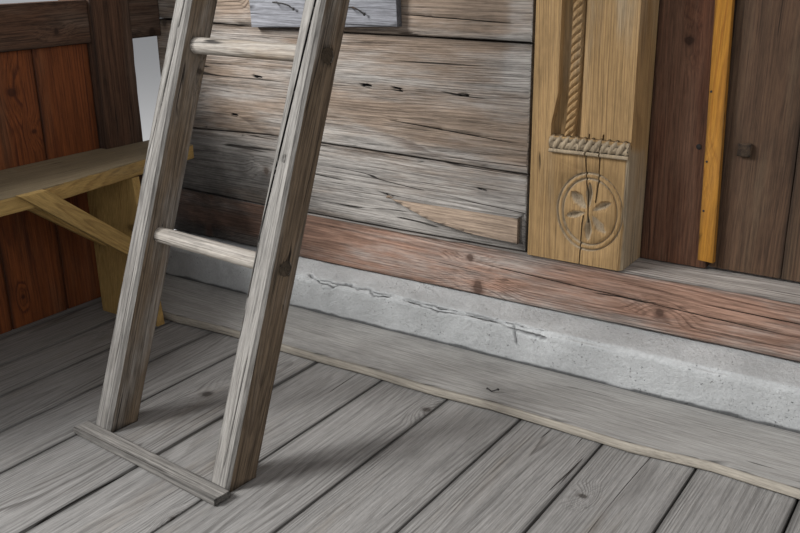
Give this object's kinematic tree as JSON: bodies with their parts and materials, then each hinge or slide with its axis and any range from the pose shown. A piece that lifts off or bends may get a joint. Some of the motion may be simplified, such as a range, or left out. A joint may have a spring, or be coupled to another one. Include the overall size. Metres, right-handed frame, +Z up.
{
  "type": "church entrance porch",
  "caption": "Entrance porch of a log church: plank deck, parapets with benches, a hewn log wall with carved portal posts, a swinging plank door and a ladder leaning on the wall.",
  "frame": {"origin": "middle of the doorway, on the ground, below the outer face of the log wall", "axes": "+X along the log wall to the right seen from outside, +Y from outside into the church, +Z up"},
  "size_m": [4.8, 2.1234, 2.825],
  "materials": {
    "render": "rough rendered masonry",
    "frame_wood": "dark aged timber",
    "deck_wood": "worn grey-brown plank",
    "pale_board": "worn pale board",
    "red_sill": "reddish hewn log",
    "silver_log": "weathered silver-grey hewn log",
    "grey_board": "bleached board",
    "carved_wood": "honey-coloured carved wood",
    "red_board": "dark red-brown board",
    "dark_door": "dark brown board",
    "iron": "forged iron",
    "new_strip": "fresh orange strip",
    "ladder_wood": "silver-brown worn wood",
    "rung_wood": "beige-grey worn round wood",
    "parapet_wood": "reddish orange-brown board",
    "bench_wood": "grey-topped pine"
  },
  "bodies": {
    "church_porch": {"masonry_plinth": "render", "side_sills": "frame_wood", "deck_joists": "frame_wood", "deck_planks_left": "deck_wood", "deck_planks_right": "deck_wood", "deck_planks_middle": "deck_wood", "edge_planks": "deck_wood", "deck_wall_board": "pale_board", "sill_log": "red_sill", "wall_plate": "silver_log", "patch_board": "grey_board", "portal_post_left": "carved_wood", "portal_post_right": "carved_wood", "portal_lintel": "carved_wood", "inner_jambs": "red_board", "hinge_pintles": "iron", "door_cover_strip": "new_strip", "side_plates": "frame_wood", "front_plate": "frame_wood", "ladder_stile_left": "ladder_wood", "ladder_stile_right": "ladder_wood", "ladder_rungs": "rung_wood", "ladder_stop": "ladder_wood", "wall_logs_1": "silver_log", "wall_logs_2": "silver_log", "wall_logs_3": "silver_log", "wall_logs_4": "silver_log", "wall_logs_5": "silver_log", "wall_logs_6": "silver_log", "parapet_posts_left": "frame_wood", "parapet_boards_left": "parapet_wood", "parapet_rails_left": "frame_wood", "bench_seat_left": "bench_wood", "bench_legs_left": "bench_wood", "bench_braces_left": "bench_wood", "parapet_posts_right": "frame_wood", "parapet_boards_right": "parapet_wood", "parapet_rails_right": "frame_wood", "bench_seat_right": "bench_wood", "bench_legs_right": "bench_wood", "bench_braces_right": "bench_wood"},
    "door": {"door_boards": "dark_door", "door_ledges": "dark_door", "door_straps": "iron", "door_peg": "dark_door"}
  },
  "joints": [
    {"name": "door_hinge", "type": "hinge", "parent": "church_porch", "child": "door", "pos_m": [0.372, 0.19205, 0], "axis": [0, 0, -1], "range_deg": [0, 95]}
  ]
}
